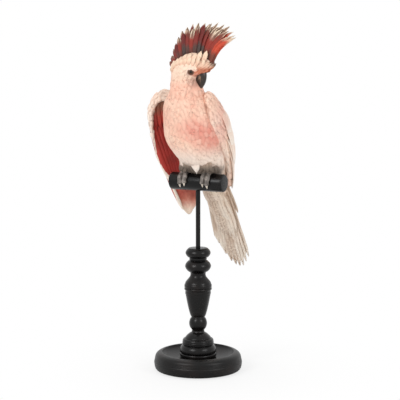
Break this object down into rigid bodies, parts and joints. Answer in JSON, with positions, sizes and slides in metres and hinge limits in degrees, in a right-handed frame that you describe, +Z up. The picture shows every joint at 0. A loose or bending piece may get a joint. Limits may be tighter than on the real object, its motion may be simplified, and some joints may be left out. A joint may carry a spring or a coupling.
{
  "type": "parrot figurine",
  "caption": "Painted cockatoo figurine with a raised crest and a half-open wing, gripping a round perch bar on a thin rod above a turned black column and disc base.",
  "frame": {"origin": "centre of the felt's underside, on the surface that the stand rests on, below the column's axis", "axes": "+Z up along the column; +X along the perch bar, towards the bird's folded left wing; the bird's breast faces -Y"},
  "size_m": [0.1699, 0.2041, 0.5409],
  "materials": {
    "painted_resin": "cast resin, hand painted in peach, cream and deep red, low sheen",
    "black_wood": "turned wood, satin black paint",
    "black_rod": "steel rod, satin black paint",
    "screw_steel": "zinc plate",
    "felt": "pressed felt"
  },
  "bodies": {
    "root": {"base_felt": "felt", "base_disc": "black_wood", "base_screw": "screw_steel", "column": "black_wood", "stem_rod": "black_rod", "perch_bar": "black_wood", "cockatoo": "painted_resin"}
  },
  "joints": []
}
